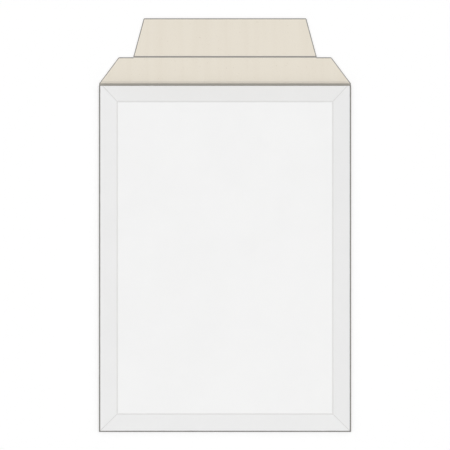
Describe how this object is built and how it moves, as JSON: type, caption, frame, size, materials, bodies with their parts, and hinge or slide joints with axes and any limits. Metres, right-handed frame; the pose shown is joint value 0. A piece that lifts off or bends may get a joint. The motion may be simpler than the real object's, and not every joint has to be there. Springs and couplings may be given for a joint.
{
  "type": "cardboard envelope",
  "caption": "Cardboard envelope lying on its back, with a raised front on a sloping mitred border, a mouth at its top, and a closing flap and tuck tongue folded open.",
  "frame": {"origin": "centre of the back panel's underside, halfway between the side edges and halfway from the bottom fold to the flap's crease", "axes": "+X across the width, +Y from the bottom fold towards the open flap, +Z from the back panel up to the front panel"},
  "size_m": [0.45, 0.7384, 0.033],
  "materials": {
    "white_board": "matte",
    "beige_board": "matte"
  },
  "bodies": {
    "pocket": {"pocket": "white_board"},
    "closing_flap": {"closing_flap": "beige_board"},
    "tuck_tongue": {"tuck_tongue": "beige_board"}
  },
  "joints": [
    {"name": "flap_fold", "type": "hinge", "parent": "pocket", "child": "closing_flap", "pos_m": [0, 0.3125, 0.0006], "axis": [1, 0, 0], "range_deg": [0, 125]},
    {"name": "tongue_fold", "type": "hinge", "parent": "closing_flap", "child": "tuck_tongue", "pos_m": [0, 0.35725, 0.0006], "axis": [1, 0, 0], "range_deg": [0, 57]}
  ]
}
